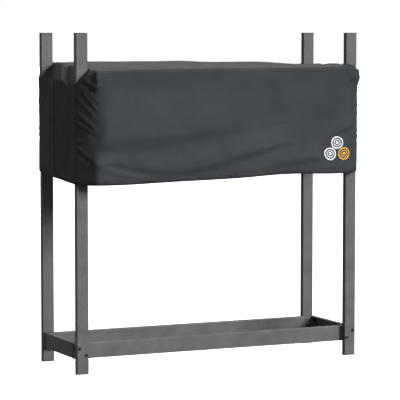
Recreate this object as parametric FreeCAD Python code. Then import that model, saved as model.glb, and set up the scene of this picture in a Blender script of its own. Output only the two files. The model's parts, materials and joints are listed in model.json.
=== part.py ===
import FreeCAD, Part
import math
import os

from FreeCAD import Vector

# Firewood log rack with a slide-on cover. Millimetres, +Z up.
# The origin is on the floor under the middle of the rack; X is its width, and -Y is its front.

# Overall frame
RACK_WIDTH = 1117.6
RACK_DEPTH = 355.6
RACK_HEIGHT = 1200.0

# Rectangular tube uprights
POST_FACE = 44.0
POST_DEPTH = 22.0
TUBE_WALL = 1.6
TUBE_CORNER = 2.5

# Long rectangular tube beams, bolted behind the uprights' faces
BEAM_DEPTH = 26.0
BEAM_HEIGHT = 55.0
BEAM_BOTTOM = 53.0

# Folded sheet rails that join the two beams at each end
RAIL_SHEET = 2.0
RAIL_FLANGE = 20.0
RAIL_TAB = 44.0
RAIL_BEND = 3.0
RAIL_RELIEF = 1.2

# Moulded plugs in the open ends of the tubes
PLUG_FLANGE = 3.0
PLUG_LENGTH = 18.0
PLUG_WALL = 1.8
PLUG_CLEARANCE = 0.15

# Fasteners: two through bolts on a diagonal at each upright
BOLT_DIAMETER = 6.0
BOLT_CLEARANCE = 0.6
BOLT_HEAD_FLATS = 10.0
BOLT_HEAD_HEIGHT = 4.0
BOLT_PITCH_X = 25.0
BOLT_PITCH_Z = 25.0
BOLT_PROTRUSION = 3.2
WASHER_DIAMETER = 12.0
WASHER_THICKNESS = 1.6
NUT_FLATS = 10.0
NUT_HEIGHT = 5.2

# Sewn cover, which slides up and down over the uprights
COVER_TOP = 1078.0
COVER_HEM = 682.0
COVER_SHEET = 2.0
COVER_STANDOFF = 70.0
COVER_END_GAP = 1.5
COVER_CORNER_INSET = 50.0
COVER_CORNER_GAP = 2.5
COVER_SHOULDER_RISE = 54.0
COVER_SLOT_GAP = 3.0
HEM_TAPE_HEIGHT = 20.0
HEM_TAPE_THICKNESS = 0.8

# Places worked out from the sizes above
HALF_WIDTH = RACK_WIDTH / 2
HALF_DEPTH = RACK_DEPTH / 2
BEAM_TOP = BEAM_BOTTOM + BEAM_HEIGHT
BEAM_FRONT = -HALF_DEPTH + POST_DEPTH
BEAM_REAR = BEAM_FRONT + BEAM_DEPTH
BOLT_HOLE = BOLT_DIAMETER + BOLT_CLEARANCE
BOLT_STACK = POST_DEPTH + BEAM_DEPTH + RAIL_SHEET
COVER_HALF_X = HALF_WIDTH + COVER_END_GAP + COVER_SHEET
COVER_HALF_Y = HALF_DEPTH + COVER_STANDOFF
CORNER_RUN_X = COVER_HALF_X - (HALF_WIDTH - COVER_CORNER_INSET)
CORNER_RUN_Y = COVER_HALF_Y - (HALF_DEPTH + COVER_CORNER_GAP)

PARTS = {}


def add(name, shape):
    """Keeps one named piece."""
    PARTS[name] = shape


def mirror_x(shape):
    """The same piece on the rack's other end."""
    return shape.mirror(Vector(0, 0, 0), Vector(1, 0, 0))


def mirror_y(shape):
    """The same piece on the rack's other long side."""
    return shape.mirror(Vector(0, 0, 0), Vector(0, 1, 0))


def add_at_corners(name, shape):
    """Adds a front left piece at all four corners."""
    add(name + "_front_left", shape)
    add(name + "_front_right", mirror_x(shape))
    add(name + "_back_left", mirror_y(shape))
    add(name + "_back_right", mirror_x(mirror_y(shape)))


def block(low, high):
    """A box between two opposite corners."""
    size = Vector(*high) - Vector(*low)
    return Part.makeBox(size.x, size.y, size.z, Vector(*low))


def along(edge, axis):
    """Whether a straight edge runs along X, Y or Z."""
    step = edge.Vertexes[-1].Point - edge.Vertexes[0].Point
    return abs(abs(step[axis]) - step.Length) < 1e-6


def bar(low, high, radius, axis):
    """A box whose four edges along one axis are rounded."""
    shape = block(low, high)
    return shape.makeFillet(radius, [e for e in shape.Edges if along(e, axis)])


def tube(low, high, axis):
    """An open-ended rectangular tube along one axis."""
    inner_low = [v + (0 if i == axis else TUBE_WALL) for i, v in enumerate(low)]
    inner_high = [v - (0 if i == axis else TUBE_WALL) for i, v in enumerate(high)]
    return bar(low, high, TUBE_CORNER, axis).cut(
        bar(inner_low, inner_high, TUBE_CORNER - TUBE_WALL, axis)
    )


def plug(low, high, axis, outward):
    """A moulded plug: a flange over a tube's end, and a hollow body inside the tube.

    low and high are the tube's outer corners in section. On the tube's axis, low is the flange's
    outer face, and outward is -1 or +1, the way that face looks.
    """
    face = low[axis]

    def slab(start, end, margin, radius):
        lows = [v + margin for v in low]
        highs = [v - margin for v in high]
        lows[axis] = min(face - outward * start, face - outward * end)
        highs[axis] = max(face - outward * start, face - outward * end)
        return bar(lows, highs, radius, axis)

    fit = TUBE_WALL + PLUG_CLEARANCE
    flange = slab(0, PLUG_FLANGE, 0, TUBE_CORNER)
    body = slab(PLUG_FLANGE, PLUG_FLANGE + PLUG_LENGTH, fit, TUBE_CORNER - TUBE_WALL)
    hollow = slab(PLUG_FLANGE, PLUG_FLANGE + PLUG_LENGTH, fit + PLUG_WALL, TUBE_CORNER - TUBE_WALL)
    return flange.fuse(body.cut(hollow)).removeSplitter()


def bolt_places():
    """X and Z of the two bolts at the front left upright: upper outer, then lower inner."""
    middle_x = -HALF_WIDTH + POST_FACE / 2
    middle_z = BEAM_BOTTOM + BEAM_HEIGHT / 2
    return [
        (middle_x - BOLT_PITCH_X / 2, middle_z + BOLT_PITCH_Z / 2),
        (middle_x + BOLT_PITCH_X / 2, middle_z - BOLT_PITCH_Z / 2),
    ]


def rod(x, z, front, length, diameter):
    """A round bar along +Y from its front face."""
    return Part.makeCylinder(diameter / 2, length, Vector(x, front, z), Vector(0, 1, 0))


def hexagon(x, z, front, length, flats):
    """A hexagonal bar along +Y, with its flats level."""
    reach = flats / math.sqrt(3)
    turns = [math.radians(60 * i) for i in range(7)]
    corners = [Vector(x + reach * math.cos(a), front, z + reach * math.sin(a)) for a in turns]
    return Part.Face(Part.makePolygon(corners)).extrude(Vector(0, length, 0))


def drilled(shape):
    """Cuts the four bolt holes through a piece, right through the front side of the rack."""
    for x, z in bolt_places():
        hole = rod(x, z, -HALF_DEPTH - 1, BOLT_STACK + 2, BOLT_HOLE)
        shape = shape.cut(hole).cut(mirror_x(hole))
    return shape


def make_frame():
    """Four uprights, two beams, two end rails and the plugs in the tubes' ends."""
    post_low = (-HALF_WIDTH, -HALF_DEPTH, PLUG_FLANGE)
    post_high = (-HALF_WIDTH + POST_FACE, -HALF_DEPTH + POST_DEPTH, RACK_HEIGHT - PLUG_FLANGE)
    add_at_corners("post", drilled(tube(post_low, post_high, 2)))

    foot = (post_low[0], post_low[1], 0)
    head = (post_low[0], post_low[1], RACK_HEIGHT)
    add_at_corners("foot_plug", plug(foot, post_high, 2, -1))
    add_at_corners("top_plug", plug(head, post_high, 2, 1))

    beam_end = HALF_WIDTH - PLUG_FLANGE
    beam_low = (-beam_end, BEAM_FRONT, BEAM_BOTTOM)
    beam_high = (beam_end, BEAM_REAR, BEAM_TOP)
    beam = drilled(tube(beam_low, beam_high, 0))
    add("beam_front", beam)
    add("beam_back", mirror_y(beam))
    end = (-HALF_WIDTH, beam_low[1], beam_low[2])
    add_at_corners("beam_plug", plug_past_bolts(end, beam_high))

    rail = side_rail()
    add("side_rail_left", rail)
    add("side_rail_right", mirror_x(rail))


def plug_past_bolts(low, high):
    """A beam's plug, with its body notched round the outer bolt."""
    shape = plug(low, high, 0, -1)
    x, z = bolt_places()[0]
    return shape.cut(rod(x, z, BEAM_FRONT - 1, BEAM_DEPTH + 2, BOLT_HOLE))


def side_rail():
    """A folded rail: web flush with the uprights, two flanges, and a bolted tab at each end."""
    outer = -HALF_WIDTH
    end = -BEAM_REAR
    tray = block((outer, -end, BEAM_BOTTOM), (outer + RAIL_FLANGE, end, BEAM_TOP))
    hollow = block(
        (outer + RAIL_SHEET, -end + RAIL_SHEET, BEAM_BOTTOM + RAIL_SHEET),
        (outer + 2 * RAIL_FLANGE, end - RAIL_SHEET, BEAM_TOP - RAIL_SHEET),
    )
    rail = bent(tray, RAIL_BEND).cut(bent(hollow, RAIL_BEND - RAIL_SHEET))
    tab_low = BEAM_BOTTOM + RAIL_SHEET + RAIL_RELIEF
    tab_high = BEAM_TOP - RAIL_SHEET - RAIL_RELIEF
    for side in (-1, 1):
        faces = sorted((side * end, side * (end - RAIL_SHEET)))
        tab = block((outer + RAIL_BEND, faces[0], tab_low), (outer + RAIL_TAB, faces[1], tab_high))
        slit = sorted((side * (end - RAIL_SHEET), side * (end - RAIL_SHEET - RAIL_RELIEF)))
        open_x = outer + RAIL_SHEET + RAIL_BEND
        gap = block((open_x, slit[0], BEAM_BOTTOM), (outer + RAIL_FLANGE, slit[1], BEAM_TOP))
        rail = rail.fuse(tab).cut(gap)
    rail = drilled(rail.removeSplitter())
    return mirror_y(drilled(mirror_y(rail)))


def bent(shape, radius):
    """Rounds the folds round a rail's web: the edges of the box's outermost X face."""
    outermost = shape.BoundBox.XMin
    folds = [e for e in shape.Edges if abs(e.BoundBox.XMax - outermost) < 1e-6]
    return shape.makeFillet(radius, folds)


def make_fasteners():
    """Bolts from the uprights' faces, with a washer and nut behind each rail tab."""
    bolts = []
    washers = []
    nuts = []
    back = -HALF_DEPTH + BOLT_STACK
    length = BOLT_STACK + WASHER_THICKNESS + NUT_HEIGHT + BOLT_PROTRUSION
    for x, z in bolt_places():
        head = hexagon(x, z, -HALF_DEPTH - BOLT_HEAD_HEIGHT, BOLT_HEAD_HEIGHT, BOLT_HEAD_FLATS)
        bolts.append(head.fuse(rod(x, z, -HALF_DEPTH, length, BOLT_DIAMETER)))
        washer = rod(x, z, back, WASHER_THICKNESS, WASHER_DIAMETER)
        washers.append(washer.cut(rod(x, z, back, WASHER_THICKNESS, BOLT_HOLE)))
        nut_face = back + WASHER_THICKNESS
        nut = hexagon(x, z, nut_face, NUT_HEIGHT, NUT_FLATS)
        nuts.append(nut.cut(rod(x, z, nut_face, NUT_HEIGHT, BOLT_DIAMETER)))
    for name, pieces in (("bolts", bolts), ("washers", washers), ("nuts", nuts)):
        group = Part.makeCompound(pieces + [mirror_x(p) for p in pieces])
        add("frame_" + name + "_front", group)
        add("frame_" + name + "_back", mirror_y(group))


def cover_lines(inset):
    """The cover's edges on a surface inside its outer one, by an inset of up to a few mm.

    Gives the half width and half depth of the walls, the X and Y where the slanting corners
    start, the height of the top and that of the shoulders. The corners and shoulders keep their
    slope and shrink by the same share, which leaves their sheet as thick as the walls'.
    """
    slant = math.hypot(CORNER_RUN_X, CORNER_RUN_Y)
    share = 1 - inset * (CORNER_RUN_X + CORNER_RUN_Y - slant) / (CORNER_RUN_X * CORNER_RUN_Y)
    half_x = COVER_HALF_X - inset
    half_y = COVER_HALF_Y - inset
    flat_x = half_x - share * CORNER_RUN_X
    flat_y = half_y - share * CORNER_RUN_Y
    top = COVER_TOP - inset
    return half_x, half_y, flat_x, flat_y, top, top - share * COVER_SHOULDER_RISE


def sheet(outline):
    """A thin solid between an outline on the cover's outer surface and the same one inside it."""
    outer = [Vector(*p) for p in outline(*cover_lines(0))]
    inner = [Vector(*p) for p in outline(*cover_lines(COVER_SHEET))]
    rings = [outer, inner]
    for i, point in enumerate(outer):
        rings.append([point, outer[i - 1], inner[i - 1], inner[i]])
    faces = [Part.Face(Part.makePolygon(ring + [ring[0]])) for ring in rings]
    shell = Part.makeShell(faces)
    shell.sewShape()
    solid = Part.makeSolid(shell)
    if solid.Volume < 0:
        solid.reverse()
    return solid


def front_outline(half_x, half_y, flat_x, flat_y, top, shoulder):
    """The long front wall, hem to top."""
    return [
        (-flat_x, -half_y, COVER_HEM),
        (flat_x, -half_y, COVER_HEM),
        (flat_x, -half_y, top),
        (-flat_x, -half_y, top),
    ]


def corner_outline(half_x, half_y, flat_x, flat_y, top, shoulder):
    """The slanting wall in front of the front left upright."""
    return [
        (-half_x, -flat_y, COVER_HEM),
        (-flat_x, -half_y, COVER_HEM),
        (-flat_x, -half_y, top),
        (-half_x, -flat_y, shoulder),
    ]


def end_outline(half_x, half_y, flat_x, flat_y, top, shoulder):
    """The left end wall, outside the uprights."""
    return [
        (-half_x, -flat_y, COVER_HEM),
        (-half_x, -flat_y, shoulder),
        (-half_x, flat_y, shoulder),
        (-half_x, flat_y, COVER_HEM),
    ]


def top_outline(half_x, half_y, flat_x, flat_y, top, shoulder):
    """The flat top between the uprights."""
    return [
        (-flat_x, -half_y, top),
        (flat_x, -half_y, top),
        (flat_x, half_y, top),
        (-flat_x, half_y, top),
    ]


def shoulder_outline(half_x, half_y, flat_x, flat_y, top, shoulder):
    """The sloping strip from the left end wall up to the top, between the two uprights."""
    reach = HALF_DEPTH - POST_DEPTH - COVER_SLOT_GAP
    return [
        (-half_x, -reach, shoulder),
        (-flat_x, -reach, top),
        (-flat_x, reach, top),
        (-half_x, reach, shoulder),
    ]


def gusset_outline(half_x, half_y, flat_x, flat_y, top, shoulder):
    """The sloping triangle in front of the front left upright."""
    return [
        (-half_x, -flat_y, shoulder),
        (-flat_x, -half_y, top),
        (-flat_x, -flat_y, top),
    ]


def hem_ring(inset):
    """The hem's eight-sided block, out to a surface inside or outside the cover's outer one."""
    half_x, half_y, flat_x, flat_y, _, _ = cover_lines(inset)
    quarter = [(flat_x, half_y), (half_x, flat_y)]
    corners = quarter + [(x, -y) for x, y in reversed(quarter)]
    corners += [(-x, y) for x, y in reversed(corners)]
    points = [Vector(x, y, COVER_HEM) for x, y in corners + corners[:1]]
    return Part.Face(Part.makePolygon(points)).extrude(Vector(0, 0, HEM_TAPE_HEIGHT))


def make_cover():
    """The cover's sewn panels and the tape round its hem."""
    add("cover_top", sheet(top_outline))
    front = sheet(front_outline)
    add("cover_front", front)
    add("cover_back", mirror_y(front))
    for name, outline in (("cover_end", end_outline), ("cover_shoulder", shoulder_outline)):
        panel = sheet(outline)
        add(name + "_left", panel)
        add(name + "_right", mirror_x(panel))
    add_at_corners("cover_corner", sheet(corner_outline))
    add_at_corners("cover_gusset", sheet(gusset_outline))
    add("cover_hem_tape", hem_ring(-HEM_TAPE_THICKNESS).cut(hem_ring(0)))


make_frame()
make_fasteners()
make_cover()
os.makedirs("parts", exist_ok=True)
for node, solid in PARTS.items():
    solid.exportStep("parts/" + node + ".step")
print(len(PARTS), "parts")
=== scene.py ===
"""Looks of a firewood log rack: powder-coated tube frame and a sewn cloth cover. Metres, +Z up."""

import json
import logging
import math
from dataclasses import dataclass
from enum import Enum

import bpy
import numpy as np
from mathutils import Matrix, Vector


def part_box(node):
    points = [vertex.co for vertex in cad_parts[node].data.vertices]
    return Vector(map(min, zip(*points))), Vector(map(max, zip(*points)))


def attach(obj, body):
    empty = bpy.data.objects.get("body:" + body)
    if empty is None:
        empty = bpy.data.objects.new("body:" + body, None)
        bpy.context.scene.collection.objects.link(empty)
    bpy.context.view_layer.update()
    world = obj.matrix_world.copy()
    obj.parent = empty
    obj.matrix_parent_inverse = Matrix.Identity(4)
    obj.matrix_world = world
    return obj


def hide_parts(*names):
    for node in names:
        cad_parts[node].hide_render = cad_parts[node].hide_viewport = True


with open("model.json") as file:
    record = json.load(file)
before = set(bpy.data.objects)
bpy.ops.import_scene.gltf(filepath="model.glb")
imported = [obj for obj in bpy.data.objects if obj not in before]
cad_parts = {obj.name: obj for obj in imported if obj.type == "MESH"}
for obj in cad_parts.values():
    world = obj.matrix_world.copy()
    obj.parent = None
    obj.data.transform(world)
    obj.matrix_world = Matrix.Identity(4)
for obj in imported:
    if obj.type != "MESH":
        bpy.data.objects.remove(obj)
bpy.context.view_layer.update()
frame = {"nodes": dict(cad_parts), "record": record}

log = logging.getLogger("log_rack")
MM = 0.001


class Body(Enum):
    """The bodies that pieces ride on."""

    RACK = "rack"
    COVER = "cover"


class Slot(Enum):
    """The record's material slots."""

    FRAME = "frame_coat"
    PLUG = "moulded_plug"
    FASTENER = "fastener"
    CLOTH = "cover_cloth"
    TAPE = "hem_tape"


# ---------------------------------------------------------------- materials


def linear(colour: str) -> tuple[float, float, float, float]:
    """Turns an sRGB hex colour into the linear colour that a shader takes.

    Each channel c is c / 12.92 where it is dark, and ((c + 0.055) / 1.055) to the power 2.4 above.

    Args:
        colour: "#rrggbb".

    Returns:
        Linear red, green and blue, and an alpha of 1.
    """
    channels = [int(colour[i : i + 2], 16) / 255 for i in (1, 3, 5)]
    lit = [c / 12.92 if c <= 0.04045 else ((c + 0.055) / 1.055) ** 2.4 for c in channels]
    return (lit[0], lit[1], lit[2], 1.0)


def add_node(
    tree: bpy.types.NodeTree,
    kind: str,
    settings: dict[str, object] | None = None,
    links: dict[str | int, bpy.types.NodeSocket] | None = None,
) -> bpy.types.Node:
    """Adds a node with its settings and links.

    Args:
        tree: the tree that the node goes into.
        kind: the node's type name.
        settings: values by name, first for a property of the node and else for an input socket.
        links: for each input, by name or number, the output socket that feeds it.

    Returns:
        The new node.
    """
    node = tree.nodes.new(kind)
    for name, value in (settings or {}).items():
        if hasattr(node, name):
            setattr(node, name, value)
        else:
            node.inputs[name].default_value = value
    for name, source in (links or {}).items():
        tree.links.new(source, node.inputs[name])
    return node


def blank_material(name: str) -> tuple[bpy.types.Material, bpy.types.NodeTree]:
    """Makes an empty node material.

    Args:
        name: the material's name.

    Returns:
        The material and its node tree.
    """
    material = bpy.data.materials.new(name)
    material.use_nodes = True
    material.node_tree.nodes.clear()
    return material, material.node_tree


def ramp(node: bpy.types.Node, stops: list[tuple[float, str]]) -> bpy.types.Node:
    """Sets a colour ramp's stops.

    Args:
        node: a colour ramp node.
        stops: place from 0 to 1 and sRGB hex colour of each stop.

    Returns:
        The same node.
    """
    elements = node.color_ramp.elements
    while len(elements) > len(stops):
        elements.remove(elements[-1])
    while len(elements) < len(stops):
        elements.new(1.0)
    for element, (place, colour) in zip(elements, stops):
        element.position = place
        element.color = linear(colour)
    return node


def mottle(
    tree: bpy.types.NodeTree,
    vector: bpy.types.NodeSocket,
    size: float,
    detail: float,
    stops: list[tuple[float, str]],
) -> bpy.types.NodeSocket:
    """Colour that drifts between a few stops over patches of one real size.

    Args:
        tree: the material's node tree.
        vector: the coordinates, in metres.
        size: how wide a patch is, in metres.
        detail: octaves of finer variation.
        stops: the ramp's stops.

    Returns:
        The ramp's colour output.
    """
    noise = add_node(
        tree, "ShaderNodeTexNoise", {"Scale": 1 / size, "Detail": detail}, {"Vector": vector}
    )
    spread = add_node(tree, "ShaderNodeValToRGB", {}, {"Fac": noise.outputs["Fac"]})
    return ramp(spread, stops).outputs["Color"]


def end_material(
    tree: bpy.types.NodeTree,
    sources: dict[str, bpy.types.NodeSocket],
    pattern: bpy.types.NodeSocket,
    roughness: tuple[float, float],
    constants: dict[str, object],
) -> None:
    """Ends a material with its roughness, its shader and its output.

    Args:
        tree: the material's node tree.
        sources: what feeds the shader's colour and normal.
        pattern: the pattern, from 0 to 1, that the roughness follows.
        roughness: the roughness where the pattern is 0, and where it is 1.
        constants: the numbers set on the shader itself.
    """
    gloss = add_node(
        tree,
        "ShaderNodeMapRange",
        {"To Min": roughness[0], "To Max": roughness[1]},
        {"Value": pattern},
    )
    links = {**sources, "Roughness": gloss.outputs["Result"]}
    shader = add_node(tree, "ShaderNodeBsdfPrincipled", constants, links)
    add_node(tree, "ShaderNodeOutputMaterial", {}, {"Surface": shader.outputs["BSDF"]})


@dataclass(frozen=True)
class Grained:
    """A solid finish whose surface has a fine even grain and a slight drift of colour.

    It serves moulded polyethylene plugs, black passivated zinc plate, woven tape, thread and ink.
    Sizes are in metres. Drift is where on the noise the dark and the pale colour stand, and
    octaves are how finely the drift and the grain are divided.
    """

    name: str
    dark: str
    pale: str
    grain: float
    relief: float
    roughness: tuple[float, float]
    patch: float = 30 * MM
    metallic: float = 0.0
    specular: float = 0.5
    drift: tuple[float, float] = (0.35, 0.65)
    octaves: tuple[float, float] = (4.0, 3.0)

    def make(self) -> bpy.types.Material:
        """Builds the material.

        Returns:
            The material.
        """
        material, tree = blank_material(self.name)
        place = add_node(tree, "ShaderNodeTexCoord").outputs["Object"]
        stops = list(zip(self.drift, (self.dark, self.pale)))
        colour = mottle(tree, place, self.patch, self.octaves[0], stops)
        grain = add_node(
            tree,
            "ShaderNodeTexNoise",
            {"Scale": 1 / self.grain, "Detail": self.octaves[1]},
            {"Vector": place},
        ).outputs["Fac"]
        bump = add_node(
            tree, "ShaderNodeBump", {"Strength": 0.3, "Distance": self.relief}, {"Height": grain}
        )
        sources = {"Base Color": colour, "Normal": bump.outputs["Normal"]}
        constants = {"Metallic": self.metallic, "Specular IOR Level": self.specular}
        end_material(tree, sources, grain, self.roughness, constants)
        return material


@dataclass(frozen=True)
class PowderCoat(Grained):
    """Polyester powder coat on steel, sprayed dry and baked.

    It gives a satin lustre, a fine orange peel, and a colour that clouds a little where the coat
    is thicker. The peel's bumps are drawn about twice as wide as they are, so that they show.
    """

    name: str = "satin_powder_coated_steel"
    dark: str = "#474748"
    pale: str = "#545454"
    grain: float = 2.2 * MM
    relief: float = 0.15 * MM
    roughness: tuple[float, float] = (0.42, 0.6)
    patch: float = 60 * MM
    specular: float = 0.25
    drift: tuple[float, float] = (0.3, 0.7)
    octaves: tuple[float, float] = (6.0, 2.0)


@dataclass(frozen=True)
class CoatedCloth:
    """Polyester Oxford cloth, plain woven from thick yarn and coated with polyurethane inside.

    It gives a soft, even sheen, a fine square weave and a faint crinkle where it was folded.
    The yarns lie 0.5 mm apart; the weave is drawn four times as coarse, so that it shows.
    """

    name: str = "coated_oxford_polyester"
    dark: str = "#24282b"
    pale: str = "#2c2f32"
    fading: float = 160 * MM
    yarn: float = 2.0 * MM
    crinkle: float = 45 * MM
    roughness: tuple[float, float] = (0.62, 0.76)

    def make(self) -> bpy.types.Material:
        """Builds the material; the weave follows the cloth's own map, which is in metres.

        A wave texture of scale 1 repeats every 2 pi / 20 m, which is 1 / 3.18 m.

        Returns:
            The material.
        """
        material, tree = blank_material(self.name)
        coords = add_node(tree, "ShaderNodeTexCoord")
        place = coords.outputs["Object"]
        stops = [(0.3, self.dark), (0.7, self.pale)]
        colour = mottle(tree, place, self.fading, 5.0, stops)
        threads = []
        for way in ("X", "Y"):
            wave = add_node(
                tree,
                "ShaderNodeTexWave",
                {"bands_direction": way, "Scale": 1 / (3.18 * self.yarn), "Distortion": 0.15},
                {"Vector": coords.outputs["UV"]},
            )
            threads.append(wave.outputs["Fac"])
        weave = add_node(
            tree, "ShaderNodeMath", {"operation": "MULTIPLY"}, {0: threads[0], 1: threads[1]}
        )
        crush = add_node(
            tree,
            "ShaderNodeTexNoise",
            {"Scale": 1 / self.crinkle, "Detail": 6.0, "Roughness": 0.6, "Distortion": 0.6},
            {"Vector": place},
        ).outputs["Fac"]
        fold = add_node(
            tree, "ShaderNodeBump", {"Strength": 0.3, "Distance": 1.5 * MM}, {"Height": crush}
        )
        bump = add_node(
            tree,
            "ShaderNodeBump",
            {"Strength": 0.35, "Distance": 0.12 * MM},
            {"Height": weave.outputs[0], "Normal": fold.outputs["Normal"]},
        )
        sources = {"Base Color": colour, "Normal": bump.outputs["Normal"]}
        constants = {"Sheen Weight": 0.01, "Sheen Roughness": 0.5, "Specular IOR Level": 0.2}
        end_material(tree, sources, crush, self.roughness, constants)
        return material


# Polyethylene, injection moulded: a soft black with a faint waxy shine.
PLUG_PLASTIC = Grained("moulded_polyethylene", "#0d0d0e", "#151516", 0.8 * MM, 0.05 * MM, (0.45, 0.62))
# Zinc plate, passivated black: a dark metallic glint through an uneven film.
BLACK_ZINC = Grained(
    "black_zinc_plate", "#222326", "#303134", 0.9 * MM, 0.03 * MM, (0.3, 0.5), metallic=0.7
)
# Polyester tape, woven: a matt ribbed edge, a shade blacker than the cloth.
WOVEN_TAPE = Grained(
    "woven_binding_tape", "#1b1d20", "#222428", 1.6 * MM, 0.12 * MM, (0.6, 0.75), specular=0.2
)
# Polyester thread, twisted and bonded: small dark beads with a slight lustre.
THREAD = Grained(
    "bonded_polyester_thread", "#17181a", "#222326", 0.7 * MM, 0.1 * MM, (0.5, 0.6), specular=0.3
)
# Screen ink, printed and cured: flat even colour that takes up a little of the weave.
WHITE_INK = Grained("white_screen_print_ink", "#dcdddd", "#ececeb", 1.2 * MM, 0.05 * MM, (0.45, 0.6))
GOLD_INK = Grained("gold_screen_print_ink", "#cf9a22", "#dfab35", 1.2 * MM, 0.05 * MM, (0.45, 0.6))


# ---------------------------------------------------------------- mesh tools


def make_piece(
    name: str,
    points: np.ndarray,
    faces: list[np.ndarray],
    corner_map: np.ndarray | None = None,
) -> bpy.types.Object:
    """Puts a surface into a mesh object at the origin.

    Args:
        name: the piece's name.
        points: n x 3 places in metres.
        faces: arrays of corner numbers, one array for each number of corners.
        corner_map: for each face corner in turn, its place on the flat cloth, in metres.

    Returns:
        The object, smooth shaded.
    """
    mesh = bpy.data.meshes.new(name)
    mesh.from_pydata(points.tolist(), [], [row for group in faces for row in group.tolist()])
    if corner_map is not None:
        layer = mesh.uv_layers.new(name="cut")
        layer.data.foreach_set("uv", corner_map.astype(np.float32).ravel())
    mesh.polygons.foreach_set("use_smooth", np.ones(len(mesh.polygons), bool))
    mesh.update()
    piece = bpy.data.objects.new(name, mesh)
    bpy.context.scene.collection.objects.link(piece)
    return piece


def finish_piece(
    piece: bpy.types.Object, body: Body, material: bpy.types.Material
) -> None:
    """Dresses a piece and makes it ride its body.

    Args:
        piece: the piece.
        body: what it rides on.
        material: its material.
    """
    piece.data.materials.clear()
    piece.data.materials.append(material)
    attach(piece, body.value)
    log.info("%s: %d faces, on %s", piece.name, len(piece.data.polygons), body.value)


def grid_faces(rows: int, columns: int, wrap_rows: bool, wrap_columns: bool) -> np.ndarray:
    """Corner numbers of a grid's quads; point (i, j) has number i * columns + j.

    Args:
        rows: points along the first parameter.
        columns: points along the second parameter.
        wrap_rows: whether the last row joins the first.
        wrap_columns: whether the last column joins the first.

    Returns:
        An m x 4 array.
    """
    i = np.arange(rows if wrap_rows else rows - 1)[:, None]
    j = np.arange(columns if wrap_columns else columns - 1)[None, :]
    i2, j2 = (i + 1) % rows, (j + 1) % columns
    corners = [i * columns + j, i2 * columns + j, i2 * columns + j2, i * columns + j2]
    return np.stack(np.broadcast_arrays(*corners), -1).reshape(-1, 4)


def unit(vectors: np.ndarray) -> np.ndarray:
    """Scales each vector to length 1."""
    return vectors / np.maximum(np.linalg.norm(vectors, axis=-1, keepdims=True), 1e-12)


def smoothstep(values: np.ndarray) -> np.ndarray:
    """Rises from 0 to 1 as 3 t squared minus 2 t cubed, and stays flat outside."""
    t = np.clip(values, 0, 1)
    return t * t * (3 - 2 * t)


def bell(*pairs: tuple[np.ndarray, float]) -> np.ndarray:
    """A smooth bump: the exponential of minus the sum of (distance / width) squared.

    Args:
        pairs: a distance from the bump's middle, and the bump's width that way.

    Returns:
        Heights from 0 to 1.
    """
    total = 0.0
    for distance, width in pairs:
        total = total - (distance / width) ** 2
    return np.exp(total)


def eased(at: np.ndarray, places: np.ndarray, values: np.ndarray, width: float) -> np.ndarray:
    """A broken line through given values, averaged over a width with cosine weights.

    Args:
        at: where to read it.
        places: the line's places, rising.
        values: its value at each place.
        width: the width of the average.

    Returns:
        A value for each number in at.
    """
    count = 22
    fine = np.arange(places[0] - width, places[-1] + width, width / count)
    weights = np.hanning(count + 1)
    padded = np.pad(np.interp(fine, places, values), count // 2, mode="edge")
    return np.interp(at, fine, np.convolve(padded, weights / weights.sum(), "valid"))


def ripple(points: np.ndarray, size: float, seed: int, waves: int = 14) -> np.ndarray:
    """Smooth random relief: the mean of cosine waves whose directions and phases are random.

    Args:
        points: n x 3 places in metres.
        size: the waves' length in metres, give or take a third.
        seed: chooses the waves.
        waves: how many are added.

    Returns:
        n heights, mostly between -1 and 1.
    """
    rng = np.random.default_rng(seed)
    ways = unit(rng.normal(size=(waves, 3)))
    lengths = size * rng.uniform(0.7, 1.35, (waves, 1))
    phases = rng.uniform(0, 2 * math.pi, waves)
    angles = points @ (2 * math.pi * ways / lengths).T + phases
    return np.cos(angles).sum(1) / math.sqrt(waves)


def vertex_normals(points: np.ndarray, triangles: np.ndarray) -> np.ndarray:
    """Normals at the points: the sum of the neighbouring triangles' cross products, made unit.

    Args:
        points: n x 3 places.
        triangles: m x 3 corner numbers.

    Returns:
        n x 3 unit normals.
    """
    a, b, c = (points[triangles[:, k]] for k in range(3))
    facing = np.cross(b - a, c - a)
    total = np.zeros_like(points)
    for k in range(3):
        np.add.at(total, triangles[:, k], facing)
    return unit(total)


# ---------------------------------------------------------------- the cover's cloth


@dataclass(frozen=True)
class Crease:
    """A short fold across the cover's walls: a ridge along a line, and a valley below it.

    Places are in mm: along the hem to the right from the front left corner, and above the floor.
    """

    start: tuple[float, float]
    end: tuple[float, float]
    width: float
    height: float
    valley: float = 0.8

    def lift(self, along: np.ndarray, up: np.ndarray, girth: float) -> np.ndarray:
        """How far the fold lifts the cloth.

        Across the line it is exp(-(q / w)^2), less a share of the same bell 1.7 widths lower.
        Along the line it fades in over its first fifth and out over its last third.

        Args:
            along: distance round the cover, in mm.
            up: height, in mm.
            girth: the way right round the cover, in mm.

        Returns:
            Heights in mm.
        """
        step = np.subtract(self.end, self.start)
        length = float(np.hypot(*step))
        way = step / length
        ahead = (along - self.start[0] + girth / 2) % girth - girth / 2
        above = up - self.start[1]
        t = (ahead * way[0] + above * way[1]) / length
        q = (above * way[0] - ahead * way[1]) / self.width
        fade = smoothstep(t / 0.2) * smoothstep((1 - t) / 0.33)
        profile = bell((q, 1.0)) - self.valley * bell((q + 1.7, 1.0))
        return self.height * fade * profile


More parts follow.
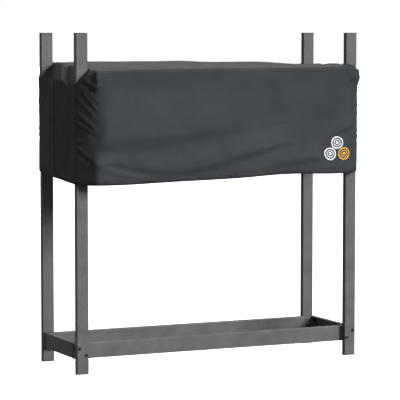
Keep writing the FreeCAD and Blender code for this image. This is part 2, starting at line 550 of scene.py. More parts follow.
@dataclass(frozen=True)
class Billow:
    """A wide fold along the front wall: steep under its edge and gentle above it.

    The edge runs through places in mm, given as a crease's are. The third number at each place is
    how far down the steep side goes. The steep side's mean slope is the same everywhere.
    """

    edge: tuple[tuple[float, float, float], ...]
    slope: float
    tail: float
    fade: tuple[float, float]
    easing: float = 110

    def lift(self, along: np.ndarray, up: np.ndarray, girth: float) -> np.ndarray:
        """How far the fold lifts the cloth.

        With q the height above the edge and d the depth of its steep side, it rises smoothly from
        0 at q = -d to slope times d at q = 0, and falls back smoothly to 0 at the tail's end. The
        edge and d are broken lines through the places, eased over a given length.

        Args:
            along: distance round the cover, in mm.
            up: height, in mm.
            girth: the way right round the cover, in mm.

        Returns:
            Heights in mm.
        """
        knots = np.array(self.edge, float)
        ahead = (along + girth / 2) % girth - girth / 2
        low, depth = (eased(ahead, knots[:, 0], knots[:, k], self.easing) for k in (1, 2))
        bump = smoothstep((up - low) / depth + 1) * smoothstep(1 - (up - low) / self.tail)
        into = smoothstep((ahead - knots[0, 0]) / self.fade[0])
        out = smoothstep((knots[-1, 0] - ahead) / self.fade[1])
        return self.slope * depth * bump * into * out


# Folds that pull from the front left post slot down to the front wall's lower corner.
CORNER_CREASES = (
    Crease((-66, 1006), (8, 932), 5.5, 2.8),
    Crease((-38, 1004), (10, 966), 5.0, 1.4),
    Crease((-90, 984), (4, 902), 5.5, 2.2),
    Crease((-78, 948), (0, 896), 5.0, 1.2),
    Crease((-96, 934), (16, 857), 6.0, 3.4),
    Crease((-92, 893), (16, 848), 5.5, 2.8),
    Crease((-92, 834), (-62, 816), 5.0, 1.6),
    Crease((-102, 817), (-2, 758), 6.0, 3.2),
    Crease((-205, 985), (-105, 915), 9, 1.2),
    Crease((-330, 960), (-180, 850), 16, 1.2),
    Crease((-60, 1050), (4, 1014), 8, 4.0),
    Crease((-34, 1012), (20, 1032), 7, 3.4),
    Crease((-260, 834), (-20, 827), 7, 1.5, 0.9),
)
# Long folds over the front wall: they fan out from its lower left corner and rise to the right.
BILLOWS = (
    Billow(
        ((-20, 832, 52), (40, 840, 60), (120, 842, 62), (200, 843, 54), (300, 851, 46))
        + ((400, 858, 38), (480, 863, 30), (570, 870, 22)),
        slope=0.125,
        tail=200,
        fade=(60, 130),
    ),
    Billow(
        ((50, 746, 8), (100, 744, 16), (150, 741, 24), (200, 734, 28), (250, 725, 24))
        + ((300, 719, 22), (350, 726, 26), (400, 735, 32), (450, 743, 34), (500, 756, 32))
        + ((600, 778, 30), (700, 796, 24), (800, 812, 14)),
        slope=0.19,
        tail=76,
        fade=(60, 110),
    ),
    Billow(
        ((-20, 748, 14), (20, 742, 20), (50, 733, 26), (100, 720, 24), (150, 707, 20))
        + ((240, 688, 20),),
        slope=0.15,
        tail=18,
        fade=(24, 60),
    ),
    Billow(((-30, 754, 8), (40, 752, 8), (140, 750, 8)), 0.45, 44, (20, 90)),
    Billow(
        ((540, 700, 8), (620, 706, 12), (680, 717, 18), (740, 734, 26), (800, 734, 26))
        + ((850, 752, 32), (905, 736, 20)),
        slope=0.13,
        tail=60,
        fade=(70, 50),
    ),
    Billow(((905, 816, 10), (950, 838, 12), (1014, 862, 14), (1060, 872, 14)), 0.25, 60, (60, 20)),
)
# Small creases on the front wall, near its right end.
FRONT_CREASES = (
    Crease((656, 878), (756, 882), 5, 0.9, 0.9),
    Crease((822, 756), (890, 712), 8, 0.9),
    Crease((912, 952), (934, 944), 6, -0.5),
)


# Where each end wall's seam stands: metres towards the back at the left end, the front at the right.
END_SEAM = 0.018


@dataclass(frozen=True)
class Waves:
    """Uneven cloth: the waves' height in mm, their length in m, their seed, and each axis' share."""

    height: float
    length: float
    seed: int
    axes: tuple[float, float, float] = (1, 1, 1)

    def lift(self, points: np.ndarray) -> np.ndarray:
        """Heights in mm at some points: the height times the ripple."""
        return self.height * ripple(points * self.axes, self.length, self.seed)


@dataclass(frozen=True)
class Lie:
    """How the cloth lies on its logs and hangs at its hem, in mm.

    With X and Y from -1 to 1 to the right and to the back, the hem rises by level + right X +
    rear Y - twist X Y. The top's front and back edges go through given heights at places X.
    """

    level: float = 9
    right: float = 6.5
    rear: float = 8.5
    twist: float = 4
    places: tuple[float, ...] = (-1, -0.5, 0, 0.4, 0.7, 0.9, 1)
    front: tuple[float, ...] = (-10, -5, -4, -4, -3, 2, 3)
    back: tuple[float, ...] = (10, 12, 11, 9, 5, 0, -5)
    easing: float = 0.25
    swell: float = 4
    hem_waves: Waves = Waves(2.2, 0.42, 5, (1, 1, 0))
    lid_waves: Waves = Waves(1, 0.17, 11, (1, 0.35, 0))

    def lift(self, cloth: "Cloth") -> np.ndarray:
        """How far each point rises.

        The top is straight between its front and back edges, but swells within 50 mm of them and
        is uneven, by 0.4 mm at its edges and 1.2 mm inside. A wall takes the top's rise in
        proportion to its height, and the hem's in the lower five eighths.

        Args:
            cloth: the cloth, before it has settled.

        Returns:
            Heights in metres.
        """
        x, y, z = cloth.base.T
        across, deep = x / cloth.half_x, np.clip(y / cloth.flat_y, -1.2, 1.2)
        hem = self.level + self.right * across + self.rear * deep - self.twist * across * deep
        hem += self.hem_waves.lift(cloth.base)
        front, back = (
            eased(across, np.array(self.places), np.array(heights), self.easing)
            for heights in (self.front, self.back)
        )
        lid = (front * (1 - deep) + back * (1 + deep)) / 2
        crown = smoothstep((cloth.half_y - abs(y)) / 0.05)
        lid += self.swell * crown + (0.4 + 0.8 * crown) * self.lid_waves.lift(cloth.base)
        share = (z - cloth.hem) / (cloth.top - cloth.hem)
        return (hem * (1 - smoothstep(share * 1.6)) + lid * smoothstep(share)) * MM


@dataclass(frozen=True)
class Gathers:
    """Pleats up the shoulders between the uprights, and the fold down each end wall's seam.

    A pleat's flat top starts and stops at two places across the end, in mm towards the back at
    the left end and the front at the right, and its third number is its height in mm. Its sides
    are as wide as given, and it leans back on its way up the shoulder. Between pleats the cloth
    is sunk. The right end's pleats are a given share as high.
    """

    pleats: tuple[tuple[float, float, float], ...] = (
        (-70, 15, 15.0),
        (-190, -135, 11.0),
        (110, 160, 5.0),
    )
    sides: tuple[float, float] = (10, 36)
    lean: float = 120
    sunk: float = 7.0
    right_share: float = 0.4
    fold: float = 4
    fold_reach: float = 0.15

    def lift(self, cloth: "Cloth") -> np.ndarray:
        """How far the pleats and seams lift the cloth.

        The pleats fade in over 20 mm above the end wall, out over 30 mm towards the post slots,
        and out over 40 mm onto the top. An end wall falls from its seam in a straight line.

        Args:
            cloth: the cloth, before it has settled.

        Returns:
            Heights in mm.
        """
        x, y, z = cloth.base.T
        back = np.where(x < 0, y, -y)
        end = smoothstep((abs(x) - cloth.flat_x + 0.03) / 0.04)
        height = smoothstep((z - cloth.shoulder + 0.016) / 0.02)
        inside = smoothstep((cloth.reach - 6 * MM - abs(y)) / 0.03)
        leaned = back / MM - self.lean * (z - cloth.shoulder) / (cloth.top - cloth.shoulder)
        lift = np.full(len(x), -self.sunk)
        for start, stop, size in self.pleats:
            front_side = smoothstep((leaned - start) / self.sides[0] + 1)
            lift += size * front_side * smoothstep((stop - leaned) / self.sides[1] + 1)
        seam = self.fold * np.clip(1 - abs(back - END_SEAM) / self.fold_reach, 0, 1)
        wall = smoothstep((cloth.shoulder - z) / 0.02) * (abs(x) > cloth.half_x - MM)
        lift *= np.where(x < 0, 1, self.right_share)
        return end * height * inside * lift + seam * wall


@dataclass(frozen=True)
class Crumple:
    """Small crushed folds round each post slot, and a puff of cloth at the front right one."""

    height: float = 4.0
    fold: Waves = Waves(1, 0.06, 21)
    puff: float = 12

    def lift(self, cloth: "Cloth") -> np.ndarray:
        """How far the crushed folds and the puff lift the cloth.

        The folds are 1 - 2 |ripple|, which has sharp valleys, times a bell of 45 by 50 by 35 mm
        at each slot. The puff is a bell of 30 mm.

        Args:
            cloth: the cloth, before it has settled.

        Returns:
            Heights in mm.
        """
        x, y, z = cloth.base.T
        slot_x = (cloth.half_x + cloth.flat_x) / 2
        near = bell(
            (abs(x) - slot_x, 0.045), (abs(y) - cloth.half_y + 0.02, 0.05), (z - cloth.top + 0.03, 0.035)
        )
        near *= np.where(x < 0, 1, smoothstep((x - cloth.flat_x) / 0.02))
        crushed = 1 - 2 * abs(self.fold.lift(cloth.base))
        puff = bell(
            (x - cloth.half_x + 0.022, 0.03),
            (y + cloth.flat_y + 0.026, 0.03),
            (z - cloth.shoulder - 0.008, 0.03),
        )
        return self.height * near * crushed + self.puff * puff


@dataclass
class Cloth:
    """The cover's cloth: eight walls, two shoulders and a top as one surface with four slots.

    Sizes are those of the cover's outer surface, in metres. A wall column stands on each point of
    the plan outline; past the walls' top edge it leans in over the shoulder or gusset to the top.
    Steps are the spacings of the columns, and row that of the rows. Rounds are how often the
    corners and the edges are rounded. The end margin is the finely divided part at each end of the
    front wall, the post gap the least air beside an upright, and weld the size of a coincidence.
    """

    half_x: float
    half_y: float
    flat_x: float
    flat_y: float
    reach: float
    top: float
    shoulder: float
    hem: float
    post_low: tuple[float, float]
    post_high: tuple[float, float]
    thickness: float = 0.9 * MM
    corner_step: float = 3.6 * MM
    edge_step: float = 4.5 * MM
    end_step: float = 6.5 * MM
    wall_step: float = 14.0 * MM
    row: float = 6.2 * MM
    corner_rounds: int = 210
    edge_rounds: int = 3
    tuck_height: float = 0.735
    end_margin: float = 0.13
    post_gap: float = 0.9 * MM
    weld: float = 0.001 * MM

    def __post_init__(self) -> None:
        """Works out the surface and its folds."""
        self._lay_out()
        self._weld()
        self._shape()

    @classmethod
    def from_frame(cls) -> "Cloth":
        """Reads the cover's and the uprights' sizes from the frame.

        Returns:
            The cloth.
        """
        top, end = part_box("cover_top")[1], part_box("cover_end_right")
        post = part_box("post_back_right")
        return cls(
            half_x=end[1].x,
            half_y=top.y,
            flat_x=top.x,
            flat_y=end[1].y,
            reach=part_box("cover_shoulder_right")[1].y,
            top=top.z,
            shoulder=end[1].z,
            hem=end[0].z,
            post_low=(post[0].x, post[0].y),
            post_high=(post[1].x, post[1].y),
        )

    def _outline(self) -> None:
        """Samples the plan outline from the front left corner round to the right.

        Half of the outline is the front wall, a corner, the right end wall and the next corner;
        the other half is the same turned half way round the middle.
        """
        inner = self.flat_x - self.end_margin
        self.front_x = joined(
            spaced(-self.flat_x, -inner, self.edge_step),
            spaced(-inner, inner, self.wall_step),
            spaced(inner, self.flat_x, self.edge_step),
        )
        slant = math.hypot(self.half_x - self.flat_x, self.half_y - self.flat_y)
        share = spaced(0, 1, self.corner_step / slant)
        end_y = joined(
            spaced(-self.flat_y, -self.reach, self.edge_step),
            spaced(-self.reach, self.reach, self.end_step),
            spaced(self.reach, self.flat_y, self.edge_step),
        )
        corner_x = self.flat_x + share * (self.half_x - self.flat_x)
        corner_y = -self.half_y + share * (self.half_y - self.flat_y)
        rise = self.top - self.shoulder
        self.top_y = joined(corner_y, end_y, -corner_y[::-1])
        wall_x = joined_ends(self.front_x, corner_x, np.full(len(end_y), self.half_x), corner_x[::-1])
        wall_y = joined_ends(np.full(len(self.front_x), -self.half_y), corner_y, end_y, -corner_y[::-1])
        rim_x = joined_ends(
            self.front_x, *(np.full(len(part), self.flat_x) for part in (share, end_y, share))
        )
        edge = joined_ends(
            np.full(len(self.front_x), self.top),
            self.top - share * rise,
            np.full(len(end_y), self.shoulder),
            self.top - share[::-1] * rise,
        )
        self.wall = turned(wall_x, wall_y)
        self.rim = turned(rim_x, wall_y)
        self.edge = np.tile(edge, 2)
        steps = np.linalg.norm(np.roll(self.wall, -1, 0) - self.wall, axis=1)
        self.along = np.concatenate([[0.0], np.cumsum(steps)])
        self.girth = float(self.along[-1])

    def _lay_out(self) -> None:
        """Lays out the walls and shoulders as one grid, and the top as another.

        On the first, a column's point at share f of the wall is hem + f (edge - hem) high; past
        the edge, its point at share g is (1 - g) of the edge's point plus g of the rim's.
        """
        self._outline()
        walls = spaced(0, 1, self.row / (self.top - self.hem))
        slope = math.hypot(self.half_x - self.flat_x, self.top - self.shoulder)
        leans = spaced(0, 1, self.row / slope)[1:]
        count = len(self.wall)
        height = self.hem + walls[None, :] * (self.edge[:, None] - self.hem)
        upright = np.dstack([np.repeat(self.wall[:, None, :], len(walls), 1), height])
        foot = np.column_stack([self.wall, self.edge])[:, None, :]
        head = np.column_stack([self.rim, np.full(count, self.top)])[:, None, :]
        lean = foot + leans[None, :, None] * (head - foot)
        ring = np.concatenate([upright, lean], 1)
        self.rows, self.wall_rows = ring.shape[1], len(walls)
        lid_x, lid_y = np.meshgrid(self.front_x, self.top_y, indexing="ij")
        lid = np.dstack([lid_x, lid_y, np.full_like(lid_x, self.top)])
        self.raw = np.concatenate([ring.reshape(-1, 3), lid.reshape(-1, 3)])
        on_lid = np.zeros(lid_x.size)
        self.raw_along = np.concatenate([np.repeat(self.along[:-1], self.rows), on_lid])
        self.raw_on_wall = np.concatenate([np.ones(ring.size // 3), on_lid])
        quads = grid_faces(count, self.rows, True, False).reshape(count, self.rows - 1, 4)
        middle = (self.wall + np.roll(self.wall, -1, 0)) / 2
        self.slot = (abs(middle[:, 0]) > self.half_x - MM) & (abs(middle[:, 1]) > self.reach)
        keep = np.ones(quads.shape[:2], bool)
        keep[self.slot, self.wall_rows - 1 :] = False
        rises = np.linalg.norm(np.diff(ring, axis=1), axis=2).cumsum(1)
        up = np.concatenate([np.zeros((count, 1)), rises], 1)
        up_next = np.roll(up, -1, 0)
        low, high = slice(0, -1), slice(1, None)
        left = np.repeat(self.along[:-1, None], self.rows - 1, 1)
        right = np.repeat(self.along[1:, None], self.rows - 1, 1)
        flat = np.stack(
            [
                np.stack([left, up[:, low]], -1),
                np.stack([right, up_next[:, low]], -1),
                np.stack([right, up_next[:, high]], -1),
                np.stack([left, up[:, high]], -1),
            ],
            2,
        )
        lid_quads = grid_faces(*lid_x.shape, False, False)
        lid_flat = np.dstack([lid_x, lid_y]).reshape(-1, 2)[lid_quads]
        self.raw_quads = np.concatenate([quads[keep], lid_quads + ring.size // 3])
        self.raw_flat = np.concatenate([flat[keep], lid_flat])

    def _weld(self) -> None:
        """Makes points that coincide one, and turns quads with a lost side into triangles."""
        keys = np.round(self.raw / self.weld).astype(np.int64)
        _, first, self.number = np.unique(keys, axis=0, return_index=True, return_inverse=True)
        self.number = self.number.ravel()
        self.base = self.raw[first]
        self.s = self.raw_along[first] / MM
        self.on_wall = self.raw_on_wall[first] > 0
        quads = self.number[self.raw_quads]
        same = quads == np.roll(quads, -1, 1)
        whole = same.sum(1) == 0
        self.quads = quads[whole]
        triangles, flats = [], []
        for k in range(4):
            others = [(k + 1) % 4, (k + 2) % 4, (k + 3) % 4]
            lost = (same.sum(1) == 1) & same[:, k]
            triangles.append(quads[lost][:, others])
            flats.append(self.raw_flat[lost][:, others])
        self.triangles = np.concatenate(triangles)
        self.corner_map = np.concatenate(
            [self.raw_flat[whole].reshape(-1, 2), np.concatenate(flats).reshape(-1, 2)]
        )
        self.all_triangles = np.concatenate(
            [self.quads[:, [0, 1, 2]], self.quads[:, [0, 2, 3]], self.triangles]
        )
        sides = [self.quads[:, [k, (k + 1) % 4]] for k in range(4)]
        sides += [self.triangles[:, [k, (k + 1) % 3]] for k in range(3)]
        edges, uses = np.unique(np.sort(np.concatenate(sides), 1), axis=0, return_counts=True)
        rim = edges[uses == 1]
        on_rim = np.zeros(len(self.base), bool)
        on_rim[rim] = True
        inner = np.concatenate([edges, edges[:, ::-1]])
        inner = inner[~on_rim[inner[:, 0]]]
        self.links = np.concatenate([inner, rim, rim[:, ::-1]])

    def relaxed(self, points: np.ndarray, times: int, amount: np.ndarray | float) -> np.ndarray:
        """Rounds the surface: each time, a point goes part of the way to its neighbours' mean.

        A point on the hem or a slot only heeds its neighbours along that edge.

        Args:
            points: n x 3 places.
            times: how often.
            amount: the part of the way, one number or one for each point.

        Returns:
            The new places.
        """
        owner, other = self.links.T
        count = np.maximum(np.bincount(owner, minlength=len(points)), 1)[:, None]
        part = np.broadcast_to(np.asarray(amount, float), (len(points),))[:, None]
        for _ in range(times):
            sums = [
                np.bincount(owner, weights=points[other, k], minlength=len(points))
                for k in range(3)
            ]
            points = points + part * (np.stack(sums, 1) / count - points)
        return points

    def _shape(self) -> None:
        """Rounds the edges, settles the cloth on its load and adds its folds.

        The upright corners are rounded as a bell 45 mm wide, less so near the top and the hem.
        Then all edges are rounded a little, but the top's long edges within 12 mm hardly at all.
        """
        x, y, z = self.base.T
        corner = bell((abs(x) - self.flat_x, 0.045), (abs(y) - self.half_y, 0.045))
        above_hem = 0.06 + 0.94 * smoothstep((z - 0.745) / 0.07)
        soft = smoothstep((self.top - 0.03 - z) / 0.07) * above_hem
        crisp = bell((self.top - z, 0.012), (self.half_y - abs(y), 0.012))
        points = self.relaxed(self.base, self.corner_rounds, 0.5 * corner * soft * self.on_wall)
        points = self.relaxed(points, self.edge_rounds, 0.5 * (1 - 0.85 * crisp))
        points[:, 2] += Lie().lift(self)
        normals = vertex_normals(points, self.all_triangles)
        points = points + normals * (self._folds() * MM)[:, None]
        points = self._clear_of_posts(self.relaxed(points, 1, 0.3 * (1 - crisp)))
        self.points = points
        self.normals = vertex_normals(points, self.all_triangles)

    def _folds(self) -> np.ndarray:
        """How far the folds lift each point along its normal.

        The back's folds are the front's, turned half way round and 0.8 as high. The front left
        corner's creases are repeated, mirrored, on the two corners beside it, a little lower and
        flatter. The walls stand 2.6 mm out under the top's edge, the hem waves, the front wall's
        right end is tucked in by 7 mm at 735 mm up, and a seam stands 0.6 mm out under the edge.

        Returns:
            Heights in mm.
        """
        y, z = self.base[:, 1], self.base[:, 2]
        up, girth = z / MM, self.girth / MM
        behind = (self.s + girth / 2) % girth
        mirrored = 2 * self.flat_x / MM - self.s
        sets = (
            (CORNER_CREASES + BILLOWS + FRONT_CREASES, ((1.0, self.s, 0), (0.8, behind, 0))),
            (CORNER_CREASES, ((0.7, mirrored, 8), (0.6, mirrored - girth / 2, 14))),
        )
        lift = np.zeros(len(up))
        for folds, copies in sets:
            for fold in folds:
                for share, along, lower in copies:
                    lift += share * fold.lift(along, up - lower, girth) * self.on_wall
        lift += Gathers().lift(self)
        lift += Crumple().lift(self)
        lift += Waves(0.5, 0.27, 3).lift(self.base) + Waves(0.2, 0.08, 4).lift(self.base)
        lift += 2.6 * smoothstep((z - self.top + 0.09) / 0.08) * self.on_wall
        hem_waves = Waves(2.0, 0.15, 8, (1, 1, 0.3)).lift(self.base)
        lift += hem_waves * smoothstep((self.tuck_height - z) / 0.06)
        tuck = bell((z - self.tuck_height, 0.05)) * smoothstep((self.s - 985) / 30)
        lift -= 7 * tuck * self.on_wall * (self.s < 1040)
        seam = bell((self.top - 7 * MM - z, 3.2 * MM)) * (abs(y) > self.half_y - MM)
        return lift + 0.6 * seam

    def _clear_of_posts(self, points: np.ndarray) -> np.ndarray:
        """Pushes cloth sideways out of a 1.8 mm margin round each upright.

        Args:
            points: n x 3 places of the outer surface.

        Returns:
            The new places.
        """
        margin = self.thickness + self.post_gap
        size, sign = abs(points[:, :2]), np.where(points[:, :2] < 0, -1.0, 1.0)
        low = np.array(self.post_low) - margin
        high = np.array(self.post_high) + margin
        inside = ((size > low) & (size < high)).all(1)
        ways = np.concatenate([high - size, size - low], 1)
        pick = ways.argmin(1)
        moved = size.copy()
        for k in range(4):
            chosen = inside & (pick == k)
            moved[chosen, k % 2] = high[k % 2] if k < 2 else low[k % 2]
        return np.column_stack([moved * sign, points[:, 2]])

    def grid(self) -> np.ndarray:
        """Numbers of the walls' welded points, by column round the cover and by row."""
        count = len(self.wall)
        return self.number[: count * self.rows].reshape(count, self.rows)

    def at(self, along: np.ndarray, row: np.ndarray) -> tuple[np.ndarray, np.ndarray]:
        """Places and normals on the outer surface between the grid's points.

        Both are the mean of the four nearest points, weighted by how near they are.

        Args:
            along: distances round the cover, in metres.
            row: rows up the walls, whole or between.

        Returns:
            n x 3 places and n x 3 unit normals.
        """
        grid = self.grid()
        column = np.interp(along % self.girth, self.along, np.arange(len(self.along)))
        left = np.floor(column).astype(int)
        low = np.clip(np.floor(row).astype(int), 0, self.rows - 2)
        u, v = (column - left)[:, None], (row - low)[:, None]
        left, right = left % len(grid), (left + 1) % len(grid)
        corners = (
            (grid[left, low], (1 - u) * (1 - v)),
            (grid[left, low + 1], (1 - u) * v),
            (grid[right, low], u * (1 - v)),
            (grid[right, low + 1], u * v),
        )
        points = sum(self.points[number] * weight for number, weight in corners)
        normals = sum(self.normals[number] * weight for number, weight in corners)
        return points, unit(normals)

    def row_at(self, height: np.ndarray) -> np.ndarray:
        """The row of the front and back walls that is cut at a height above the floor."""
        return (height - self.hem) / (self.top - self.hem) * (self.wall_rows - 1)

    def slot_loops(self) -> list[np.ndarray]:
        """The edges of the post slots: along the wall's edge, then up and back.

        Returns:
            For each slot, the numbers of the points round it.
        """
        grid = self.grid()
        starts = np.flatnonzero(self.slot & ~np.roll(self.slot, 1))
        stops = np.flatnonzero(self.slot & ~np.roll(self.slot, -1)) + 1
        edge, rim = self.wall_rows - 1, self.rows - 1
        return [
            np.concatenate(
                [
                    grid[start:stop, edge],
                    grid[stop % len(grid), edge:rim],
                    grid[np.arange(stop, start, -1) % len(grid), rim],
                    grid[start, rim:edge:-1],
                ]
            )
            for start, stop in zip(starts, stops)
        ]

    def build(self, material: bpy.types.Material) -> bpy.types.Object:
        """Makes the cloth's piece, as thick as coated cloth, inward from its outer surface.

        The points inside the post slots belong to no face, and are left out.

        Args:
            material: the cloth's material.

        Returns:
            The piece.
        """
        corners = np.concatenate([self.quads.ravel(), self.triangles.ravel()])
        used, packed = np.unique(corners, return_inverse=True)
        quads, triangles = np.split(packed.ravel(), [self.quads.size])
        faces = [quads.reshape(-1, 4), triangles.reshape(-1, 3)]
        piece = make_piece("cover_cloth", self.points[used], faces, self.corner_map)
        solid = piece.modifiers.new("thickness", "SOLIDIFY")
        solid.thickness = self.thickness
        solid.offset = -1
        solid.use_even_offset = False
        finish_piece(piece, Body.COVER, material)
        return piece


def spaced(start: float, stop: float, step: float) -> np.ndarray:
    """Even positions from start to stop, about step apart."""
    return np.linspace(start, stop, max(2, round(abs(stop - start) / step) + 1))


def joined(*parts: np.ndarray) -> np.ndarray:
    """Chains position lists that share their end points."""
    return np.concatenate([parts[0]] + [part[1:] for part in parts[1:]])


def joined_ends(*parts: np.ndarray) -> np.ndarray:
    """Chains position lists and leaves out the last point of each."""
    return np.concatenate([part[:-1] for part in parts])


def turned(x: np.ndarray, y: np.ndarray) -> np.ndarray:
    """Points of half an outline, then the same points turned half way round the middle."""
    half = np.column_stack([x, y])
    return np.concatenate([half, -half])


def swept(section: np.ndarray) -> tuple[np.ndarray, np.ndarray]:
    """Joins sections into a closed loop of tape.

    Args:
        section: n sections round the loop, each of m points round the tape.

    Returns:
        The points, and the corner numbers of the quads between neighbouring sections.
    """
    count, size = section.shape[:2]
    return section.reshape(-1, 3), grid_faces(count, size, True, True)


def barred(section: np.ndarray) -> tuple[np.ndarray, np.ndarray]:
    """Joins four-cornered sections into a bar with both ends closed.

    Args:
        section: n sections along the bar, each of 4 points round it.

    Returns:
        The points, and the corner numbers of the quads.
    """
    count = len(section)
    caps = np.array([[3, 2, 1, 0], [0, 1, 2, 3]]) + [[0], [4 * count - 4]]
    return section.reshape(-1, 3), np.concatenate([grid_faces(count, 4, False, True), caps])


def outward(points: np.ndarray, faces: np.ndarray) -> np.ndarray:
    """Turns a closed mesh's faces round if the volume that they enclose comes out negative.

    Six times the volume is the sum of (a x b) . c + (a x c) . d over its quads a, b, c, d.

    Args:
        points: the mesh's points.
        faces: m x 4 corner numbers.

    Returns:
        The faces, as they were or turned round.
    """
    a, b, c, d = (points[faces[:, k]] for k in range(4))
    volume = (np.cross(a, b) * c).sum() + (np.cross(a, c) * d).sum()
    return faces if volume > 0 else faces[:, ::-1]


@dataclass(frozen=True)
class Binding:
    """Woven tape folded over the cloth's edges.

    Drop is how far the tape's fold hangs under the hem. Shares are how much of its thickness the
    tape keeps at its upper edge, on the hem and round the slots.
    """

    hem_rows: int = 3
    tape: float = 0.5 * MM
    slot_width: float = 4.5 * MM
    drop: float = 1.2 * MM
    hem_share: float = 0.2
    slot_share: float = 0.3

    def hem(self, cloth: Cloth) -> tuple[np.ndarray, np.ndarray]:
        """The hem tape: a flat closed loop round the cloth's lowest rows.

        Its section goes down the outside at each row's point plus the tape's thickness along the
        normal, under the edge, and up the inside. Both of its upper edges lie nearly flush.

        Args:
            cloth: the cloth that it is sewn to.

        Returns:
            The points and the quads.
        """
        numbers = cloth.grid()[:, : self.hem_rows + 1]
        points, normals = cloth.points[numbers], cloth.normals[numbers]
        last = np.arange(self.hem_rows + 1) == self.hem_rows
        thick = np.where(last, self.hem_share, 1.0) * self.tape
        outer = points + thick[:, None] * normals
        inner = points - (cloth.thickness + thick[:, None]) * normals
        under = points[:, :1] - cloth.thickness / 2 * normals[:, :1] - [0, 0, self.drop]
        points, faces = swept(np.concatenate([outer[:, ::-1], under, inner], 1))
        return points, outward(points, faces)

    def edges(self, cloth: Cloth) -> list[tuple[np.ndarray, np.ndarray, np.ndarray]]:
        """The edges of the four post slots.

        With n the cloth's normal, the way into the cloth is n crossed with the edge's direction.

        Args:
            cloth: the cloth.

        Returns:
            For each slot, the places round it, the normals, and the ways into the cloth.
        """
        rounds = []
        for loop in cloth.slot_loops():
            points, normals = cloth.points[loop], cloth.normals[loop]
            ahead = unit(np.roll(points, -1, 0) - np.roll(points, 1, 0))
            into = unit(np.cross(normals, ahead))
            into *= np.sign((into * (points - points.mean(0))).sum())
            rounds.append((points, normals, into))
        return rounds

    def slots(self, cloth: Cloth) -> tuple[np.ndarray, np.ndarray]:
        """The narrow tapes round the four post slots.

        The section goes from the tape's width into the cloth, over the edge, to the same place on
        the inside.

        Args:
            cloth: the cloth that they are sewn to.

        Returns:
            The points and the quads.
        """
        meshes = []
        for points, normals, into in self.edges(cloth):
            out = normals * self.tape
            back = normals * (cloth.thickness + self.tape)
            width = into * self.slot_width
            section = np.stack(
                [
                    points + width + self.slot_share * out,
                    points + width / 2 + out,
                    points + out,
                    points - normals * cloth.thickness / 2 - into * self.tape,
                    points - back,
                    points + width - back,
                ],
                1,
            )
            points, faces = swept(section)
            meshes.append((points, outward(points, faces)))
        return merged(meshes)


@dataclass(frozen=True)
class EndSeams:
    """The upright seam down the middle of each end wall, covered with a flat tape.

    The section's corners are given in half widths from the middle and in tapes' thicknesses out.
    """

    width: float = 11.0 * MM
    tape: float = 0.5 * MM
    first_row: int = 3
    section: tuple[tuple[float, float], ...] = ((-1, -0.8), (-0.9, 1.0), (0.9, 1.0), (1, -0.8))

    def line(
        self, cloth: Cloth, turn: float, side: float, height: float
    ) -> tuple[np.ndarray, np.ndarray]:
        """A line up one of the seams.

        Args:
            cloth: the cloth that it is sewn to.
            turn: how far round the cover the seam stands from the right end's.
            side: how far from the seam's middle, as a share of half the tape's width.
            height: how far out of the cloth, in metres.

        Returns:
            n x 3 places and n x 3 unit normals.
        """
        slant = math.hypot(cloth.half_x - cloth.flat_x, cloth.half_y - cloth.flat_y)
        middle = 2 * cloth.flat_x + slant + cloth.flat_y - END_SEAM
        rows = np.arange(self.first_row, cloth.wall_rows - 0.5, 1.0)
        along = np.full(len(rows), middle + turn + side * self.width / 2)
        points, normals = cloth.at(along, rows)
        return points + height * normals, normals

    def build(self, cloth: Cloth) -> tuple[np.ndarray, np.ndarray]:
        """The tapes: at each height, two corners just over the cloth and two let into it.

        Args:
            cloth: the cloth that they are sewn to.

        Returns:
            The points and the quads.
        """
        meshes = []
        for turn in (0.0, cloth.girth / 2):
            corners = [
                self.line(cloth, turn, side, height * self.tape)[0]
                for side, height in self.section
            ]
            points, faces = barred(np.stack(corners, 1))
            meshes.append((points, outward(points, faces)))
        return merged(meshes)


def merged(meshes: list[tuple[np.ndarray, np.ndarray]]) -> tuple[np.ndarray, np.ndarray]:
    """Puts several quad meshes into one.

    Args:
        meshes: each mesh's points and quads.

    Returns:
        The points and the quads of them all.
    """
    starts = np.cumsum([0] + [len(points) for points, _ in meshes])
    faces = [quads + start for (_, quads), start in zip(meshes, starts)]
    return np.concatenate([points for points, _ in meshes]), np.concatenate(faces)


